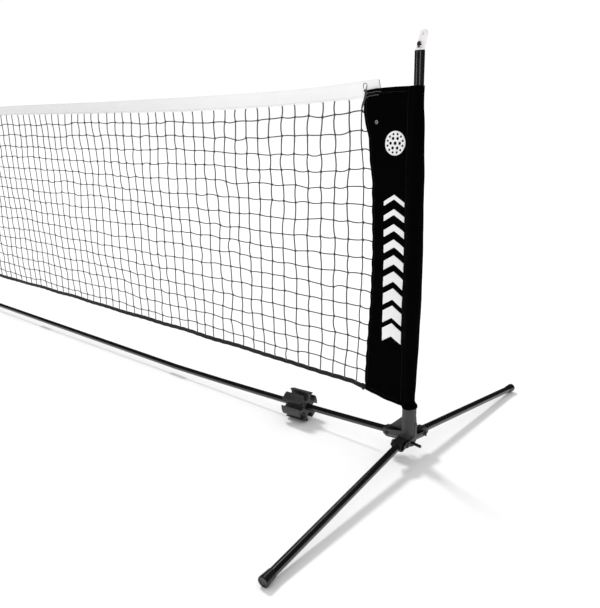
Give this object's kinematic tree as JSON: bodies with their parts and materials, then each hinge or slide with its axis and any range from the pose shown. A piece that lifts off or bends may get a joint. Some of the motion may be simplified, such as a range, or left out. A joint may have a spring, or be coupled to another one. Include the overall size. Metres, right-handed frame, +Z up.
{
  "type": "pickleball portable net",
  "caption": "Free-standing portable court net: sectional base bar, folding legs, leaning posts, slip-over net with headband and side sleeves, and tube-storage clip hubs.",
  "frame": {"origin": "on the floor under the middle of the net", "axes": "+X along the net, +Y across it towards the rear legs, +Z up"},
  "size_m": [3.7656, 1.1768, 1.0142],
  "materials": {
    "tube": "gloss black powder coat with long soft highlights",
    "moulding": "charcoal moulded nylon, fine satin grain",
    "fitting": "near-black moulded nylon",
    "foot": "black rubber boot",
    "steel": "blackened steel",
    "cap": "white moulded plastic",
    "headband": "white coated tape with stitched hem",
    "edging": "black woven binding tape",
    "sleeve": "deep black woven polyester",
    "netting": "knotted dark grey polyethylene cord",
    "cord": "black braided cord"
  },
  "bodies": {
    "frame": {"bar_tube_mid_R": "tube", "bar_tube_mid_L": "tube", "bar_tube_end_R": "tube", "bar_tube_end_L": "tube", "bar_ferrule_R": "steel", "bar_ferrule_C": "steel", "bar_ferrule_L": "steel", "bar_shock_cord": "cord", "end_joint_R": "moulding", "end_joint_L": "moulding", "bar_end_fitting_R": "fitting", "bar_end_fitting_L": "fitting", "bar_pin_R": "steel", "bar_pin_L": "steel", "leg_pin_front_R": "steel", "leg_pin_clip_front_R": "steel", "leg_pin_rear_R": "steel", "leg_pin_clip_rear_R": "steel", "leg_pin_rear_L": "steel", "leg_pin_clip_rear_L": "steel", "leg_pin_front_L": "steel", "leg_pin_clip_front_L": "steel"},
    "leg_front_R": {"leg_fitting_front_R": "fitting", "leg_tube_front_R": "tube", "leg_foot_front_R": "foot"},
    "leg_rear_R": {"leg_fitting_rear_R": "fitting", "leg_tube_rear_R": "tube", "leg_foot_rear_R": "foot"},
    "leg_rear_L": {"leg_fitting_rear_L": "fitting", "leg_tube_rear_L": "tube", "leg_foot_rear_L": "foot"},
    "leg_front_L": {"leg_fitting_front_L": "fitting", "leg_tube_front_L": "tube", "leg_foot_front_L": "foot"},
    "post_R": {"post_tube_R": "tube", "post_cap_R": "cap", "cap_cord_knot_R": "cord"},
    "post_L": {"post_tube_L": "tube", "post_cap_L": "cap", "cap_cord_knot_L": "cord"},
    "net": {"netting": "netting", "headband": "headband", "headband_cord": "cord", "bottom_tape": "edging", "side_sleeve_R": "sleeve", "sleeve_eyelet_R": "steel", "edge_cord_R": "cord", "corner_tie_top_R": "cord", "corner_tie_bottom_R": "cord", "side_sleeve_L": "sleeve", "sleeve_eyelet_L": "steel", "edge_cord_L": "cord", "corner_tie_top_L": "cord", "corner_tie_bottom_L": "cord"},
    "clip_R": {"clip_hub_R": "moulding"},
    "clip_L": {"clip_hub_L": "moulding"}
  },
  "joints": [
    {"name": "leg_front_R_fold", "type": "hinge", "parent": "frame", "child": "leg_front_R", "pos_m": [1.8332, -0.04572, 0.05807], "axis": [-0.9976, -0.0698, 0], "range_deg": [0, 95]},
    {"name": "leg_rear_R_fold", "type": "hinge", "parent": "frame", "child": "leg_rear_R", "pos_m": [1.8332, 0.04572, 0.05807], "axis": [0.9976, -0.0698, 0], "range_deg": [0, 95]},
    {"name": "leg_rear_L_fold", "type": "hinge", "parent": "frame", "child": "leg_rear_L", "pos_m": [-1.8332, 0.04572, 0.05807], "axis": [0.9976, 0.0698, 0], "range_deg": [0, 95]},
    {"name": "leg_front_L_fold", "type": "hinge", "parent": "frame", "child": "leg_front_L", "pos_m": [-1.8332, -0.04572, 0.05807], "axis": [-0.9976, 0.0698, 0], "range_deg": [0, 95]},
    {"name": "post_R_lift", "type": "slide", "parent": "frame", "child": "post_R", "axis": [-0.0253, 0, 0.9997], "range_m": [0, 0.07]},
    {"name": "post_L_lift", "type": "slide", "parent": "frame", "child": "post_L", "axis": [0.0253, 0, 0.9997], "range_m": [0, 0.07]},
    {"name": "net_lift", "type": "slide", "parent": "frame", "child": "net", "axis": [0, 0, 1], "range_m": [0, 0.06]},
    {"name": "clip_R_slide", "type": "slide", "parent": "frame", "child": "clip_R", "axis": [0.9988, 0, 0.0484], "range_m": [0, 0.2]},
    {"name": "clip_L_slide", "type": "slide", "parent": "frame", "child": "clip_L", "axis": [-0.9988, 0, 0.0484], "range_m": [0, 0.2]}
  ]
}
